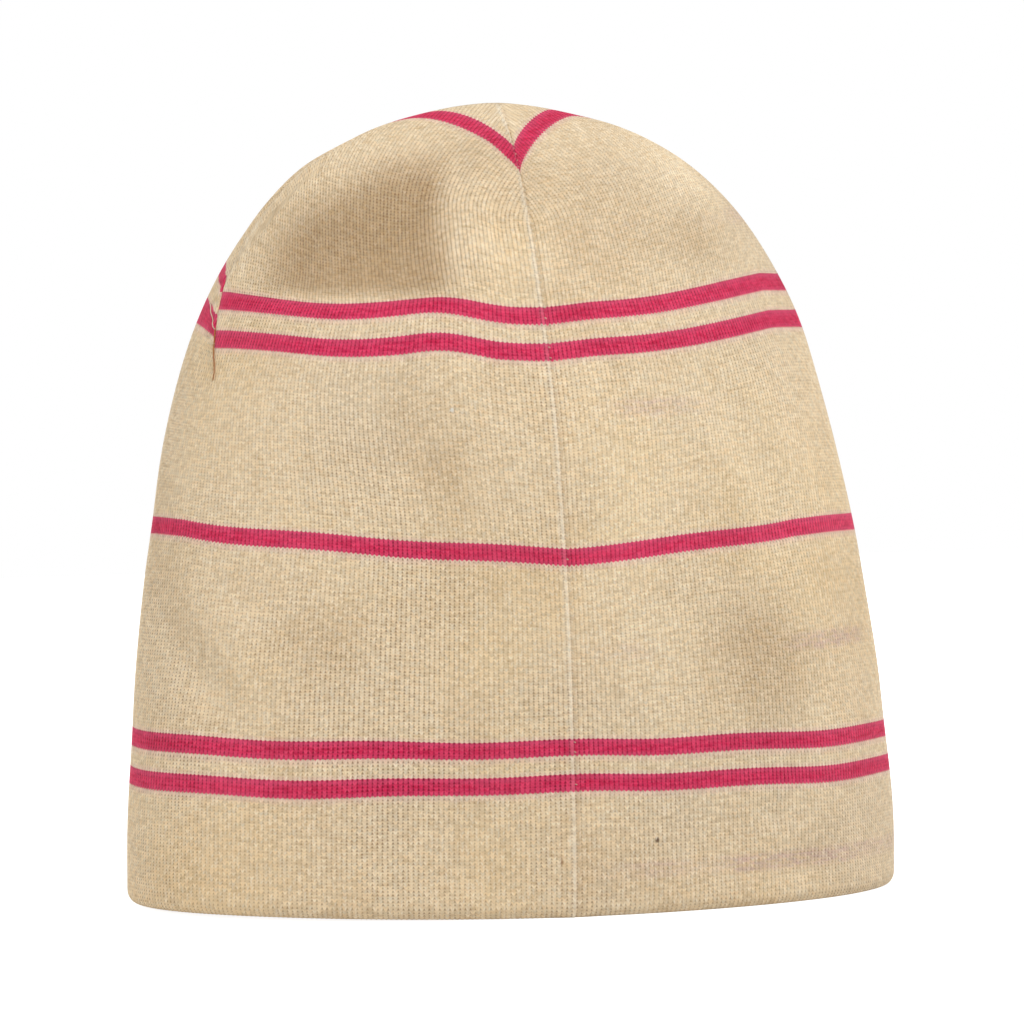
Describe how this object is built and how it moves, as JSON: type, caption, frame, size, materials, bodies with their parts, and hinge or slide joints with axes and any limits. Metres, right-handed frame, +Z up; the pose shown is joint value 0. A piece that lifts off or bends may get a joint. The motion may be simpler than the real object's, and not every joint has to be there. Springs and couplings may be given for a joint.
{
  "type": "knit beanie",
  "caption": "Close-fitting double-layer knit beanie, standing open on its folded hem, with a back seam, crown darts and knitted-in stripes.",
  "frame": {"origin": "centre of the oval rim, in the plane that the folded hem rests on", "axes": "+Z up through the crown, +Y towards the wearer's front, so the back seam is at -Y, and +X towards the wearer's right"},
  "size_m": [0.22, 0.14, 0.223],
  "materials": {
    "cream_knit": "matt heathered cream jersey knit",
    "fuchsia_knit": "matt fuchsia jersey knit",
    "lining_knit": "matt cream jersey knit, purl side out",
    "lining_fuchsia": "matt fuchsia jersey knit, purl side out",
    "seam_thread": "matt spun sewing thread",
    "loose_thread": "matt rust-coloured sewing thread"
  },
  "bodies": {
    "root": {"hem_fold": "cream_knit", "hem_band": "cream_knit", "low_stripe_lower": "fuchsia_knit", "low_gap": "cream_knit", "low_stripe_upper": "fuchsia_knit", "lower_body": "cream_knit", "mid_stripe": "fuchsia_knit", "upper_body": "cream_knit", "high_stripe_lower": "fuchsia_knit", "high_gap": "cream_knit", "high_stripe_upper": "fuchsia_knit", "crown_body": "cream_knit", "crown_stripe": "fuchsia_knit", "crown_tip": "cream_knit", "lining_hem": "lining_knit", "lining_stripe_1": "lining_fuchsia", "lining_lower": "lining_knit", "lining_stripe_2": "lining_fuchsia", "lining_middle": "lining_knit", "lining_stripe_3": "lining_fuchsia", "lining_upper": "lining_knit", "lining_stripe_4": "lining_fuchsia", "lining_crown": "lining_knit", "back_seam": "seam_thread", "front_dart": "seam_thread", "left_dart": "seam_thread", "right_dart": "seam_thread", "lining_back_seam": "seam_thread", "lining_front_dart": "seam_thread", "lining_left_dart": "seam_thread", "lining_right_dart": "seam_thread", "crown_tack": "seam_thread", "thread_end": "loose_thread"}
  },
  "joints": []
}
